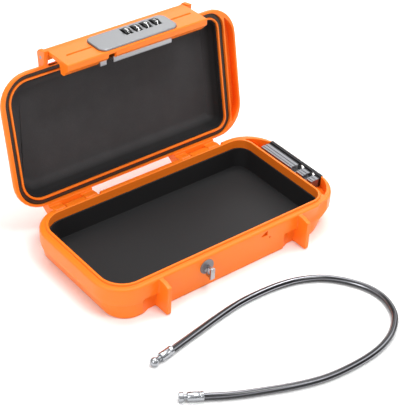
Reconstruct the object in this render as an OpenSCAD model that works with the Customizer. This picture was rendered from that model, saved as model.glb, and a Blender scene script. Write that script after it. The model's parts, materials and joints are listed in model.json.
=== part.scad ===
// Portable safe: a moulded base and lid, a lock flap with four dials, and a steel security cable.
// The origin is the centre of the seal rectangle on the underside. X runs along the hinge,
// +Y is the hinge side and +Z is up. The lid stands open.

/* [Seal] */
// Length of the seal rectangle, along the middle of the base's tongue
seal_l = 228; // [210:1:260]
// Width of the seal rectangle
seal_w = 115.5; // [105:0.5:140]
// Corner radius of the seal at the left end
seal_r_left = 22; // [12:1:30]
// Corner radius of the seal at the cable end
seal_r_right = 14; // [10:1:24]
// Thickness of the tongue that presses into the gasket
tongue_t = 2.2; // [1.6:0.1:2.6]
// Height of the tongue above the rim
tongue_h = 2; // [1:0.1:2.4]

/* [Base] */
// Height of the base to the top of its tongue
base_h = 33.5; // [33:0.5:50]
// Rim past the seal line at the left end
rim_left = 7; // [6:0.5:12]
// Rim past the seal line at the front
rim_front = 5.75; // [5.5:0.25:7]
// Rim past the seal line at the hinge side
rim_back = 6.75; // [6:0.25:7]
// Rim past the seal line at the cable end
rim_right = 20.9; // [19:0.1:26]
// Outer corner radius at the left end
corner_left = 29; // [20:1:34]
// Outer corner radius at the cable end
corner_right = 34; // [24:1:40]
// Corner radius of the floor at the left end
corner_foot = 20; // [14:1:29]
// Corner radius of the floor at the cable end
corner_foot_right = 25; // [18:1:26]
// How far the left wall leans in towards the floor
lean_left = 7; // [3:0.5:8]
// How far the floor reaches past the seal line at the cable end
foot_right = 2; // [0:0.5:6]
// Height of the step line around the base
step_z = 14.5; // [10:0.5:17]
// Depth of the step line
step_d = 1; // [0.4:0.1:1.4]
// Thickness of the base's floor
floor_t = 3; // [2:0.2:4]
// Thickness of an outer wall of the cable bay
bay_wall = 2.6; // [2:0.1:3]
// Depth of the cable bay's floor below the top of the tongue
bay_drop = 12.5; // [12:0.1:13]

/* [Fins] */
// Inner face of the left fin, from the middle
fin_left_x = -70.6; // [-74:0.1:-66]
// Inner face of the right fin, from the middle
fin_right_x = 76.8; // [72:0.1:80]
// Thickness of a fin and of the lid's ear above it
fin_t = 4.1; // [3:0.1:5]
// How far a fin stands out from the rim
fin_out = 12.2; // [12:0.1:14]
// Length of the hollow beside a fin
hollow_l = 15; // [8:0.5:20]
// Depth of the hollow beside a fin
hollow_d = 3; // [1:0.1:3.5]
// Height of the hollow beside a fin
hollow_h = 16; // [8:0.5:17]

/* [Hinge] */
// Distance of the hinge axis behind the seal line
hinge_back = 9.65; // [9.5:0.05:12]
// Depth of the hinge axis below the top of the tongue
hinge_drop = 9.4; // [9:0.1:11]
// Radius of a hinge knuckle
knuckle_r = 4.5; // [3.5:0.1:4.6]
// Radius of the hinge pins and the flap's pin
pin_r = 1.5; // [1:0.1:1.8]
// Lid opening, from shut to the photographed stop
lid_open = 102.1; // [95:0.1:110]
// Left hinge, from its left end to its right end
hinge_left = [-92, -46];
// Right hinge, from its left end to its right end
hinge_right = [46, 92];
// Width of a lid knuckle
lid_knuckle_w = 12.4; // [8:0.2:14]

/* [Lid] */
// Height of the lid above the top of the tongue
lid_h = 20.5; // [19.5:0.5:24]
// Depth of the lid's hollow above the top of the tongue
lid_depth = 16.2; // [12:0.2:17]
// How far the lid's front wall stands behind the base's rim
lid_set_in = 1; // [0.4:0.1:2]
// How far the lid's right wall stands behind the base's rim
lid_right_in = 5; // [2:0.2:6]
// Height of the lid's upright rim
lid_rim_h = 3.2; // [2.6:0.1:5]
// Slope of the lid's left wall, inwards for each mm up
slope_left = 0.71; // [0.2:0.01:0.75]
// Slope of the lid's front wall
slope_front = 0.62; // [0.2:0.01:0.7]
// Slope of the lid's right wall
slope_right = 0.26; // [0.1:0.01:0.4]
// Slope of the lid's back wall
slope_back = 0.2; // [0.1:0.01:0.3]
// Height above the top of the tongue where the hollow starts to slope
hollow_rim_h = 6.5; // [5:0.5:9]
// Gap between the lid's rim and the base's rim when shut
shut_gap = 0.3; // [0.3:0.05:0.6]
// Thickness of the lid's inner ridge
ridge_t = 1.85; // [1.2:0.05:2]
// Height of the ridge's edge below the top of the tongue
ridge_drop = 0.5; // [0.2:0.1:0.6]
// Depth of the gasket's groove above the top of the tongue
groove_up = 3.3; // [2.5:0.1:4.5]
// Thickness of the gasket
gasket_t = 2.8; // [2:0.1:2.9]

/* [Liners] */
// Thickness of the liners' walls
liner_t = 1.3; // [0.8:0.1:1.6]
// Height of the base liner's top edge
liner_z = 25; // [18:0.5:28]

/* [Lock flap] */
// Thickness of the flap's plate
flap_t = 3; // [2.4:0.1:3.2]
// Length of the flap below its root
flap_l = 28.8; // [27.9:0.1:29.4]
// Root of the flap below the top of the tongue
flap_drop = 3; // [2.8:0.1:3.4]
// How far the flap's root stands out from the seal line
flap_out = 17.85; // [17.7:0.05:19]
// Outward tilt of the latched flap, in degrees
flap_tilt = 5; // [4:0.5:6]
// How far the flap hangs in from there when the lid is open, in degrees
flap_droop = 16; // [10:0.5:18]
// Gap between the flap and its ears and fins
flap_gap = 0.6; // [0.4:0.1:0.8]
// Depth of the rib inside the flap, from its face
rib_d = 13.3; // [9:0.1:13.4]
// Start and end of the rib below the root
rib_down = [17.6, 21.5];
// Depth of the flap's free edge
edge_d = 6; // [4:0.1:7]
// Height of the flap's pivot above the top of the tongue
pivot_up = 2.5; // [2.2:0.1:3]
// How far the flap's pivot stands out from the seal line
pivot_out = 11.55; // [11.3:0.05:12]
// Radius of the flap's knuckle
flap_knuckle_r = 4.3; // [3.6:0.1:4.4]

/* [Lock] */
// Length of the lock's face plate
plate_l = 82; // [80:0.5:86]
// Width of the lock's face plate
plate_w = 26.8; // [26:0.1:27]
// Thickness of the lock's face plate
plate_t = 2; // [1.4:0.1:2.4]
// Middle of the face plate, from the middle of the safe
plate_x = 5.8; // [4:0.2:8]
// Length of the lock case behind the flap
case_l = 75; // [73:0.5:77]
// Width of the lock case
case_w = 25; // [24:0.2:26]
// Gap between the lock's back and the base's wall when latched
case_gap = 0.7; // [0.6:0.1:1]
// Thickness of the lock's backplate
back_t = 0.8; // [0.5:0.1:0.9]
// Radius of a dial
dial_r = 6.2; // [5.6:0.1:6.3]
// Width of a dial
dial_w = 6.4; // [5:0.1:7]
// Distance from one dial to the next
dial_pitch = 10.2; // [10:0.1:10.6]
// Middle of the row of dials, from the plate's right end
dials_in = 29.3; // [28:0.1:31]
// Number of dials
dial_count = 4; // [4:1:4]
// Distance of the dials' axle below the flap's root
axle_down = 10; // [9.6:0.1:10.2]
// Depth of the dials' axle behind the flap's face
axle_in = 2.3; // [2.2:0.1:2.5]
// Radius of the dials' axle
axle_r = 1.5; // [1:0.1:1.7]
// Radius of the sleeve inside a dial
sleeve_r = 2.2; // [2:0.1:2.25]

/* [Striker] */
// Place of the striker along the front wall
striker_x = -25; // [-26:0.5:-24]
// Height of the striker's lower end
striker_z = 12.5; // [12:0.5:13]
// Height of the striker
striker_h = 11; // [10:0.5:11.5]
// How far the striker's head stands out from the wall
striker_out = 8.7; // [8.4:0.1:8.8]
// Thickness of the striker's plate
striker_t = 2; // [1.6:0.1:2.4]
// Width of the striker's head
head_w = 4.5; // [4:0.1:5]
// Depth of the striker's head
head_d = 2; // [1.6:0.1:2.2]
// Radius of the round flange behind the striker
flange_r = 7; // [6.5:0.5:9]
// Thickness of the round flange
flange_t = 0.8; // [0.6:0.1:0.8]
// Height of the flange's middle
flange_z = 21.2; // [20:0.2:21.4]
// Radius of the striker's threaded tail
tail_r = 2.5; // [2:0.1:3]

/* [Cable anchor] */
// Front and back ends of the anchor
anchor_y = [-32, 38];
// Inner face of the anchor, past the seal line
anchor_in = 6.5; // [5.5:0.1:8]
// Width of the anchor's raised outer strip
strip_w = 3.4; // [2.6:0.1:4]
// Depth of the anchor's inner part below its outer strip
strip_h = 1.2; // [0.6:0.1:2]
// Front and back of each cable slot
cable_slots = [[-11, -4], [-25, -20]];
// Height of the cable slots above the bay's floor
slot_lift = 2; // [1.5:0.1:2.4]
// Length of an anchor screw
screw_l = 8; // [6:0.5:9]
// Depth of an anchor screw's head below the bay's floor
screw_sink = 3.5; // [3:0.1:5]

/* [Cable] */
// Diameter of the coated cable
cable_d = 6; // [5:0.5:7]
// Diameter of a ferrule
ferrule_d = 7.6; // [7.2:0.1:8]
// Length of a ferrule
ferrule_l = 13; // [10:0.5:16]
// Diameter of a cable head
head_round_d = 8; // [7:0.1:9]
// Length of the neck between ferrule and head
neck_l = 3; // [2:0.5:5]

/* [Hidden] */
$fn = 48;

shell_orange = "#FF8232";
liner_black = "#262627";
lining_grey = "#403E3F";
zinc_grey = "#A6A6AB";
steel = "#C9CCD1";
dark_metal = "#5A555A";

eps = 0.02;
fit = 0.05; // running clearance of a pin in its bore
play = 0.6; // clearance between moving mouldings
hull_fn = 32;

sx = seal_l / 2;
sy = seal_w / 2;
rim_x0 = -sx - rim_left;
rim_x1 = sx + rim_right;
rim_y0 = -sy - rim_front;
rim_y1 = sy + rim_back;
rim_z = base_h - tongue_h;
bay_z = base_h - bay_drop;
hinge_y = sy + hinge_back;
hinge_z = base_h - hinge_drop;
pocket_y = sy + tongue_t / 2 + 0.75;
pocket_z = hinge_z - knuckle_r - 1.1;
land_z = rim_z + shut_gap;
lid_x0 = rim_x0 + 0.5;
lid_x1 = rim_x1 - lid_right_in;
lid_y0 = rim_y0 + lid_set_in;
lid_y1 = sy + 4.25;
lid_top = base_h + lid_h;
slope_z = land_z + lid_rim_h; // where the lid's walls start to slope
hollow_z = base_h + hollow_rim_h;
hollow_in = slope_left * (lid_depth - hollow_rim_h);
ridge_out = -(tongue_t / 2 + 0.75);
groove_out = tongue_t / 2 + 1.2;
pivot_y = -sy - pivot_out;
pivot_z = base_h + pivot_up;
root_y = -sy - flap_out;
root_z = base_h - flap_drop;
flap_x0 = fin_left_x + flap_gap;
flap_x1 = fin_right_x - flap_gap;
dials_x = plate_x + plate_l / 2 - dials_in;
case_x0 = dials_x + dial_pitch * dial_count / 2 + 2.1 - case_l;
back_y = rim_y0 - case_gap;
bay_down = [axle_down - dial_r - 0.5, axle_down + dial_r + 1.4];
bay_half = dial_pitch * (dial_count - 1) / 2 + dial_w / 2 + 0.9;
slot_w = head_w + 2.8;
slot_top = (root_z - striker_z - striker_h) - 2;
bolt_t = 2;
bolt_w = 4;
window_in = 3; // from the wall to the striker's window
window_w = 3.4;
bolt_y = rim_y0 - window_in - window_w / 2; // middle of the bolt when latched
bolt_z = striker_z + striker_h / 2 + 0.6;
bolt_x0 = striker_x + slot_w / 2 + 0.4;
bolt_x1 = dials_x - bay_half - 4.4;
strip_z = rim_z - 0.1;
mark_x = fin_right_x - 42.8;

// Rounded rectangle with its own corner radius at each end
module outline(x0, x1, y0, y1, rl, rr) {
    for (y = [y0 + rl, y1 - rl]) translate([x0 + rl, y]) circle(rl);
    for (y = [y0 + rr, y1 - rr]) translate([x1 - rr, y]) circle(rr);
    translate([x0 + rl, y0]) square([x1 - rr - x0 - rl, y1 - y0]);
    translate([x0, y0 + rl]) square([rl + eps, y1 - y0 - 2 * rl]);
    translate([x1 - rr - eps, y0 + rr]) square([rr + eps, y1 - y0 - 2 * rr]);
}

// The seal rectangle, grown by g on every side
module seal(g) {
    outline(-sx - g, sx + g, -sy - g, sy + g, seal_r_left + g, seal_r_right + g);
}

// A band along the seal between two distances from its line
module seal_band(g_in, g_out, z0, z1) {
    translate([0, 0, z0]) linear_extrude(z1 - z0) difference() {
        seal(g_out);
        seal(g_in);
    }
}

module base_slab(z, h, left, right, front, back, trim = 0, rl = corner_left, rr = corner_right) {
    translate([0, 0, z]) linear_extrude(h)
        outline(left + trim, right - trim, front + trim, back - trim, rl - trim, rr - trim, $fn = hull_fn);
}

// A profile drawn in the YZ plane, pulled along X
module along_x(x0, x1) {
    translate([x0, 0, 0]) rotate([90, 0, 90]) linear_extrude(x1 - x0) children();
}

module rod_x(x0, x1, y, z, r) {
    translate([x0, y, z]) rotate([0, 90, 0]) cylinder(r = r, h = x1 - x0);
}

// Places what is drawn shut onto the open lid
module at_lid() {
    translate([0, hinge_y, hinge_z]) rotate([-lid_open, 0, 0]) translate([0, -hinge_y, -hinge_z]) children();
}

// Places what is drawn latched and shut onto the flap as it hangs from the open lid
module at_latched() {
    at_lid() translate([0, pivot_y, pivot_z]) rotate([flap_droop, 0, 0]) translate([0, -pivot_y, -pivot_z]) children();
}

// Places what is drawn on the flap: +Y into the flap from its face, -Z down from its root
module at_flap() {
    at_latched() translate([0, pivot_y, pivot_z]) rotate([-flap_tilt, 0, 0])
        translate([0, root_y - pivot_y, root_z - pivot_z]) children();
}

// Place along Y, when latched, of what lies a distance behind the flap's face
function face_y(z, in) =
    pivot_y + (in + root_y - pivot_y + (z - pivot_z) * sin(flap_tilt)) / cos(flap_tilt);

// A block on the flap between two places along X, down and in
module flap_block(x, down, in) {
    translate([x[0], in[0], -down[1]]) cube([x[1] - x[0], in[1] - in[0], down[1] - down[0]]);
}

module fin(x) {
    along_x(x, x + fin_t) polygon([
        [rim_y0 + 4, floor_t / 2], [rim_y0 + 4, rim_z - 1.1], [rim_y0 - 5, rim_z - 1.1],
        [rim_y0 - fin_out, rim_z - 3.4], [rim_y0 - fin_out, 1.5], [rim_y0 - fin_out + 1, 0.5], [rim_y0 + 4, 0.5]
    ]);
}

// Hollow in the front wall on the left of a fin, running out to the left
module fin_hollow(x) {
    translate([0, 0, -1]) linear_extrude(hollow_h + 1) polygon([
        [x - hollow_l, rim_y0 - 1], [x - hollow_l, rim_y0 + step_d], [x - hollow_l / 2, rim_y0 + step_d + hollow_d],
        [x, rim_y0 + step_d + hollow_d], [x, rim_y0 - 1]
    ]);
}

module base_body() {
    hull() {
        base_slab(0, 0.2, rim_x0 + lean_left, sx + foot_right, rim_y0 + step_d, rim_y1 - 1.5, 1,
            corner_foot, corner_foot_right);
        base_slab(1.2, 0.2, rim_x0 + lean_left, sx + foot_right, rim_y0 + step_d, rim_y1 - 1.5, 0,
            corner_foot, corner_foot_right);
        base_slab(step_z - 0.2, 0.2, rim_x0 + 2, rim_x1 - 4.8, rim_y0 + step_d, rim_y1 - 0.5);
    }
    hull() {
        base_slab(step_z - 0.2, 0.2, rim_x0 + 2 - step_d, rim_x1 - 4.6, rim_y0, rim_y1 - 0.4);
        base_slab(step_z + 4.5, rim_z - step_z - 5.7, rim_x0, rim_x1, rim_y0, rim_y1);
        base_slab(rim_z - 0.2, 0.2, rim_x0, rim_x1, rim_y0, rim_y1, trim = 1);
    }
    // Flush panel between the fins
    translate([fin_left_x - fin_t / 2, rim_y0, 0.6])
        cube([fin_right_x - fin_left_x + fin_t, 4, step_z + 2]);
}

module base_knuckle(x) {
    difference() {
        union() {
            rod_x(x[0] + lid_knuckle_w + 0.4, x[1] - lid_knuckle_w - 0.4, hinge_y, hinge_z, knuckle_r);
            translate([x[0] + lid_knuckle_w + 0.4, pocket_y - 1, hinge_z - knuckle_r])
                cube([x[1] - x[0] - 2 * lid_knuckle_w - 0.8, hinge_y - pocket_y + 1, 2 * knuckle_r]);
        }
        rod_x(x[0], x[1], hinge_y, hinge_z, pin_r + fit);
    }
}

module base_tub() {
    color(shell_orange) {
        difference() {
            union() {
                base_body();
                seal_band(-tongue_t / 2 - 1, tongue_t / 2, rim_z - 2, base_h);
                fin(fin_left_x - fin_t);
                fin(fin_right_x);
            }
            // The safe's inside
            translate([0, 0, floor_t]) linear_extrude(base_h) seal(-tongue_t / 2);
            // The cable bay and the anchor's place in its outer wall
            translate([0, 0, bay_z]) linear_extrude(base_h) difference() {
                outline(rim_x0 + bay_wall, rim_x1 - bay_wall, rim_y0 + bay_wall + 4, rim_y1 - bay_wall - 4,
                    corner_left - bay_wall, corner_right - bay_wall - 2);
                translate([-2 * sx, -2 * sy]) square([3 * sx + tongue_t / 2 + 0.3, 4 * sy]);
                seal(tongue_t / 2 + 0.3);
            }
            translate([sx + anchor_in, anchor_y[0], bay_z]) cube([rim_right, anchor_y[1] - anchor_y[0], base_h]);
            for (x = [hinge_left, hinge_right])
                translate([x[0] - play, pocket_y, pocket_z]) cube([x[1] - x[0] + 2 * play, rim_back, base_h]);
            fin_hollow(fin_left_x - fin_t);
            fin_hollow(fin_right_x);
            translate([striker_x, rim_y0 - 1, striker_z + striker_h / 2]) rotate([-90, 0, 0])
                cylinder(r = tail_r + fit, h = rim_front + 3);
            for (y = screw_ys) translate([screw_x, y, -1]) {
                cylinder(r = 1.5 + fit, h = base_h);
                cylinder(r = 3.2, h = bay_z - screw_sink + 1);
            }
            mould_marks();
        }
        base_knuckle(hinge_left);
        base_knuckle(hinge_right);
    }
}

// Small moulding marks on the front wall
module mould_marks() {
    translate([0, rim_y0 + 0.5, 0]) rotate([90, 0, 0]) linear_extrude(2) {
        translate([mark_x, rim_z - 4.5]) polygon([[0, 0], [4.5, 2.5], [4.5, -0.8]]);
        translate([mark_x + 10, rim_z - 10.7]) square(1);
    }
}

module base_liner() {
    color(liner_black) difference() {
        translate([0, 0, floor_t]) linear_extrude(liner_z - floor_t) seal(-tongue_t / 2 - fit);
        translate([0, 0, floor_t + liner_t]) linear_extrude(base_h) seal(-tongue_t / 2 - fit - liner_t);
        translate([striker_x, -sy, striker_z + striker_h / 2]) rotate([-90, 0, 0])
            cylinder(r = tail_r + 2.6, h = tongue_t / 2 + liner_t + 1);
    }
}

screw_x = sx + anchor_in + 6.5;
screw_ys = [anchor_y[0] + 3.5, anchor_y[1] - 10];

module cable_anchor() {
    color(zinc_grey) difference() {
        union() {
            translate([sx + anchor_in, anchor_y[0], bay_z])
                cube([rim_right - anchor_in - strip_w + eps, anchor_y[1] - anchor_y[0], strip_z - strip_h - bay_z]);
            translate([rim_x1 - strip_w, anchor_y[0], bay_z])
                cube([strip_w, anchor_y[1] - anchor_y[0], strip_z - bay_z]);
            // Lengthwise ribs on the inner part
            for (x = [sx + anchor_in + 2, sx + anchor_in + 5.5])
                translate([x, anchor_y[0], bay_z]) cube([0.9, anchor_y[1] - anchor_y[0], strip_z - strip_h + 0.5 - bay_z]);
        }
        for (s = cable_slots) {
            translate([sx, s[0], bay_z + slot_lift]) cube([rim_right - strip_w, s[1] - s[0], base_h]);
            // Round hole that a cable head goes in through
            translate([sx, (s[0] + s[1]) / 2, bay_z + slot_lift + ferrule_d / 2 - 0.4]) rotate([0, 90, 0])
                cylinder(r = ferrule_d / 2 + 0.2, h = rim_right + 1);
        }
        for (y = screw_ys) translate([screw_x, y, bay_z - 1])
            cylinder(r = 1.5 + fit, h = screw_l - screw_sink + 1.5);
    }
}

module anchor_screws() {
    color(steel) for (y = screw_ys) translate([screw_x, y, bay_z - screw_sink]) {
        translate([0, 0, -1.8]) difference() {
            cylinder(r = 2.8, h = 1.8);
            translate([0, 0, -eps]) cylinder(r = 1.3, h = 1, $fn = 6);
        }
        cylinder(r = 1.5, h = screw_l);
    }
}

module striker() {
    z = striker_z + striker_h / 2;
    head_y = rim_y0 - striker_out;
    color(steel) {
        difference() {
            translate([striker_x - striker_t / 2, head_y + head_d - eps, striker_z])
                cube([striker_t, striker_out - head_d - flange_t + eps, striker_h]);
            // Window that the bolt passes through
            translate([striker_x - striker_t, rim_y0 - window_in - window_w, bolt_z - bolt_w / 2 - 1.2])
                cube([2 * striker_t, window_w, bolt_w + 2.4]);
        }
        translate([striker_x - head_w / 2, head_y, striker_z]) cube([head_w, head_d, striker_h]);
        translate([striker_x, rim_y0 - flange_t - eps, z]) rotate([-90, 0, 0])
            cylinder(r = tail_r, h = rim_front + flange_t - tongue_t / 2 + 2.6);
    }
}

module striker_flange() {
    color(zinc_grey) difference() {
        translate([striker_x, rim_y0, flange_z]) rotate([90, 0, 0]) cylinder(r = flange_r, h = flange_t);
        translate([striker_x, rim_y0 + 1, striker_z + striker_h / 2]) rotate([90, 0, 0])
            cylinder(r = tail_r + fit, h = 4);
    }
}

module striker_nut() {
    color(steel) translate([striker_x, -sy + tongue_t / 2, striker_z + striker_h / 2]) rotate([-90, 0, 0])
        difference() {
            cylinder(r = 4.4, h = 2.4, $fn = 6);
            translate([0, 0, -1]) cylinder(r = tail_r + fit, h = 5);
        }
}

module hinge_pin_left() {
    color(steel) rod_x(hinge_left[0], hinge_left[1], hinge_y, hinge_z, pin_r);
}

module hinge_pin_right() {
    color(steel) rod_x(hinge_right[0], hinge_right[1], hinge_y, hinge_z, pin_r);
}

// A level of the lid's outside, up from where its walls start to slope
module lid_slab(z, h, trim = 0, up = 0) {
    translate([0, 0, z]) linear_extrude(h)
        outline(lid_x0 + slope_left * up + trim, lid_x1 - slope_right * up - trim,
            lid_y0 + slope_front * up + trim, lid_y1 - slope_back * up - trim,
            corner_left - 1 - slope_back * up - trim, corner_right - 6 - slope_back * up - trim, $fn = hull_fn);
}

// The lid's hollow, shrunk on every side, up to a height
module lid_hollow(in, top) {
    hull() {
        translate([0, 0, base_h - 6]) linear_extrude(hollow_rim_h + 6) seal(ridge_out - ridge_t - in, $fn = hull_fn);
        translate([0, 0, top - 0.2]) linear_extrude(0.2) seal(ridge_out - ridge_t - in - hollow_in, $fn = hull_fn);
    }
}

// Ear on the lid's front wall that carries the flap's pin
module lid_ear(x) {
    ear_y = rim_y0 - fin_out;
    along_x(x, x + fin_t) polygon([
        [lid_y0 + 3, land_z + 0.2], [rim_y0 - 1.4, land_z + 0.2], [rim_y0 - 1.4, rim_z - 0.6],
        [rim_y0 - 5, rim_z - 0.6], [ear_y, rim_z - 2.9], [ear_y, pivot_z + 2.5],
        [ear_y + 2.4, pivot_z + 5.4], [lid_y0 + 3 + slope_front * (pivot_z + 6.6 - slope_z), pivot_z + 6.6]
    ]);
}

module lid_hinge(x) {
    difference() {
        union() {
            along_x(x[0], x[1]) polygon([
                [lid_y1 - 1.4, hinge_z + 5.8], [lid_y1 - 1.4, base_h + groove_up + 0.8],
                [lid_y1 - 4, base_h + groove_up + 2.4], [lid_y1 - 4, base_h + 10], [lid_y1 + 3, base_h + 9],
                [hinge_y + knuckle_r, base_h + 1.5],
                [hinge_y + knuckle_r, hinge_z + 5.8]
            ]);
            for (k = [x[0], x[1] - lid_knuckle_w]) {
                rod_x(k, k + lid_knuckle_w, hinge_y, hinge_z, knuckle_r);
                translate([k, hinge_y - knuckle_r, hinge_z]) cube([lid_knuckle_w, 2 * knuckle_r, 6]);
            }
        }
        rod_x(x[0] - 1, x[1] + 1, hinge_y, hinge_z, pin_r + fit);
    }
}

module lid_shell() {
    color(shell_orange) at_lid() {
        difference() {
            union() {
                hull() {
                    lid_slab(land_z, 0.2, trim = 0.8);
                    lid_slab(land_z + 1, lid_rim_h - 1);
                    lid_slab(lid_top - 1.8, 0.2, up = lid_top - 1.8 - slope_z);
                    lid_slab(lid_top - 0.2, 0.2, trim = 2, up = lid_top - slope_z);
                }
                lid_ear(fin_left_x - fin_t);
                lid_ear(fin_right_x);
            }
            lid_hollow(0, base_h + lid_depth + liner_t + fit);
            translate([0, 0, -1]) linear_extrude(base_h + groove_up + 1) difference() {
                seal(groove_out);
                seal(ridge_out);
            }
            translate([0, 0, -1]) linear_extrude(base_h - ridge_drop + 1) seal(groove_out);
            // Hollow over the cable bay
            translate([0, 0, -1]) linear_extrude(base_h + 8) intersection() {
                outline(lid_x0 + bay_wall, lid_x1 - bay_wall, lid_y0 + bay_wall + 2, lid_y1 - bay_wall - 2,
                    corner_left - 5, corner_right - 8);
                translate([sx + groove_out + 1, -sy]) square([rim_right, 2 * sy]);
            }
            rod_x(fin_left_x - 2 * fin_t, fin_right_x + 2 * fin_t, pivot_y, pivot_z, pin_r + fit);
        }
        lid_hinge(hinge_left);
        lid_hinge(hinge_right);
    }
}

module lid_gasket() {
    color(liner_black) at_lid()
        seal_band(ridge_out + fit, groove_out - fit, base_h + groove_up - gasket_t, base_h + groove_up);
}

module lid_liner() {
    color(lining_grey) at_lid() difference() {
        lid_hollow(fit, base_h + lid_depth + liner_t);
        lid_hollow(fit + liner_t, base_h + lid_depth);
        translate([-sx, -sy, 0]) cube([2 * sx, 2 * sy, base_h + 1.5]);
    }
}

module flap_pin() {
    color(steel) at_lid() rod_x(fin_left_x - fin_t, fin_right_x + fin_t, pivot_y, pivot_z, pin_r);
}

// Clear way for the striker, open inwards and downwards
module striker_way(in) {
    flap_block([striker_x - slot_w / 2, striker_x + slot_w / 2], [slot_top, flap_l + 6], [in, 20]);
}

module dial_bay(in) {
    flap_block([dials_x - bay_half, dials_x + bay_half], bay_down, in);
}

module latch_flap() {
    pivot_in = pivot_y - root_y;
    pivot_over = pivot_z - root_z;
    color(shell_orange) difference() {
        at_flap() {
            along_x(flap_x0, flap_x1) polygon([
                [0, 1], [flap_t, 1], [flap_t + 2.2, -rib_down[0] + 1.8], [rib_d, -rib_down[0]], [rib_d, -rib_down[1]],
                [edge_d, -flap_l], [0.8, -flap_l], [0, -flap_l + 0.8]
            ]);
            // Root that wraps the pivot
            along_x(flap_x0, flap_x1) {
                translate([pivot_in, pivot_over]) circle(flap_knuckle_r);
                polygon([
                    [0, 0.6], [0.8, pivot_over + 2], [pivot_in - 2.2, pivot_over + 3.6], [pivot_in, pivot_over],
                    [pivot_in + 2.6, pivot_over - 3.2], [flap_t, -0.4], [0, -0.4]
                ]);
            }
        }
        at_lid() rod_x(flap_x0 - 1, flap_x1 + 1, pivot_y, pivot_z, pin_r + fit);
        at_flap() {
            striker_way(flap_t + 0.2);
            dial_bay([-1, rib_d + 1]);
            flap_block([case_x0 - 0.3, case_x0 + case_l + 0.3], [-2, case_w + 0.3], [flap_t, 20]);
            rod_x(dials_x - bay_half - 3.4, dials_x + bay_half + 3.4, axle_in, -axle_down, axle_r + 0.3);
            // Grooves on the face, each side of the lock
            flap_block([flap_x0 + 9, plate_x - plate_l / 2 - 1], [13, 13.8], [-1, 0.8]);
            flap_block([plate_x + plate_l / 2 + 1, flap_x1 - 6], [11.5, 12.3], [-1, 0.8]);
        }
        lock_holes(1);
    }
}

// Places of the lock's screws: along X and down from the root
lock_screw_places = [
    [case_x0 + 3, case_w - 3.4], [case_x0 + case_l - 8, case_w - 3.4], [striker_x + slot_w / 2 + 6, case_w - 3.4]
];

// Holes for the lock's screws, square to its back
module lock_holes(r) {
    at_latched() for (p = lock_screw_places)
        translate([p[0], face_y(root_z - p[1], -0.9), root_z - p[1]]) rotate([-90, 0, 0]) cylinder(r = r + fit, h = 30);
}

module lock_face_plate() {
    color(steel) difference() {
        at_flap() translate([plate_x, 0, -0.6 - plate_w / 2]) rotate([90, 0, 0]) {
            linear_extrude(plate_t - 0.7) plate_outline(0);
            hull() {
                translate([0, 0, plate_t - 0.7]) linear_extrude(0.01) plate_outline(0);
                translate([0, 0, plate_t - 0.01]) linear_extrude(0.01) plate_outline(0.6);
            }
        }
        at_flap() for (i = [1 : dial_count])
            flap_block([dial_x(i) - dial_w / 2 - 0.4, dial_x(i) + dial_w / 2 + 0.4],
                [axle_down - dial_r + 0.1, axle_down + dial_r - 0.1], [-5, 1]);
        lock_holes(1);
    }
}

module plate_outline(trim) {
    outline(-plate_l / 2 + trim, plate_l / 2 - trim, -plate_w / 2 + trim, plate_w / 2 - trim, 7 - trim, 7 - trim);
}

// The room behind the lock's back when latched, from a place along Y
module behind(y) {
    at_latched() translate([case_x0 - 1, y, -20]) cube([case_l + 2, 40, base_h + 40]);
}

module lock_case() {
    color(zinc_grey) difference() {
        at_flap() flap_block([case_x0, case_x0 + case_l], [0, case_w], [flap_t, rib_d + 4]);
        at_flap() {
            dial_bay([0, 20]);
            striker_way(0);
            rod_x(dials_x - bay_half - 3, dials_x + bay_half + 3, axle_in, -axle_down, axle_r + fit);
        }
        // The bolt's channel, open at the back
        at_latched() translate([striker_x, bolt_y - bolt_t / 2 - 0.3, bolt_z - bolt_w / 2 - 0.3])
            cube([bolt_x1 + 0.4 - striker_x, 20, bolt_w + 0.6]);
        behind(back_y - back_t);
        lock_holes(1);
    }
}

module lock_backplate() {
    color(steel) difference() {
        intersection() {
            at_flap() flap_block([case_x0, case_x0 + case_l], [0.2, case_w - 0.2], [flap_t, rib_d + 4]);
            behind(back_y - back_t);
        }
        behind(back_y);
        at_flap() striker_way(0);
        // Clear of the striker's flange
        at_latched() translate([striker_x, back_y - 5, flange_z]) rotate([-90, 0, 0]) cylinder(r = flange_r + 1.2, h = 10);
        lock_holes(1.9);
    }
}

module lock_screws() {
    color(steel) at_latched() for (p = lock_screw_places) {
        y = face_y(root_z - p[1], -0.8);
        translate([p[0], y, root_z - p[1]]) rotate([-90, 0, 0]) cylinder(r = 1, h = back_y - y);
        translate([p[0], back_y - back_t + 0.05, root_z - p[1]]) rotate([-90, 0, 0]) cylinder(r = 1.9, h = back_t - 0.05);
    }
}

function dial_x(i) = dials_x + (i - (dial_count + 1) / 2) * dial_pitch;

module dial_axle() {
    color(steel) at_flap()
        rod_x(dials_x - bay_half - 2.9, dials_x + bay_half + 2.9, axle_in, -axle_down, axle_r);
}

// Leaf along the bay with one finger for each dial
module detent_spring() {
    color(steel) at_flap() {
        flap_block([dials_x - bay_half, dials_x + bay_half], [bay_down[1] - 0.6, bay_down[1]],
            [flap_t + 0.4, flap_t + 4.4]);
        for (i = [1 : dial_count])
            flap_block([dial_x(i) - 1.5, dial_x(i) + 1.5], [axle_down + dial_r + 0.35, bay_down[1] - 0.59],
                [flap_t + 0.4, flap_t + 1.4]);
    }
}

module dial(i) {
    color("#1B1B1D") at_flap() translate([dial_x(i), axle_in, -axle_down]) difference() {
        rod_x(-dial_w / 2, dial_w / 2, 0, 0, dial_r);
        rod_x(-dial_w, dial_w, 0, 0, sleeve_r + fit);
        // Grip notches between the ten numbers
        for (k = [0 : 9]) rotate([36 * k, 0, 0]) rod_x(-dial_w, dial_w, 0, dial_r + 0.5, 0.9);
    }
}

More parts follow.
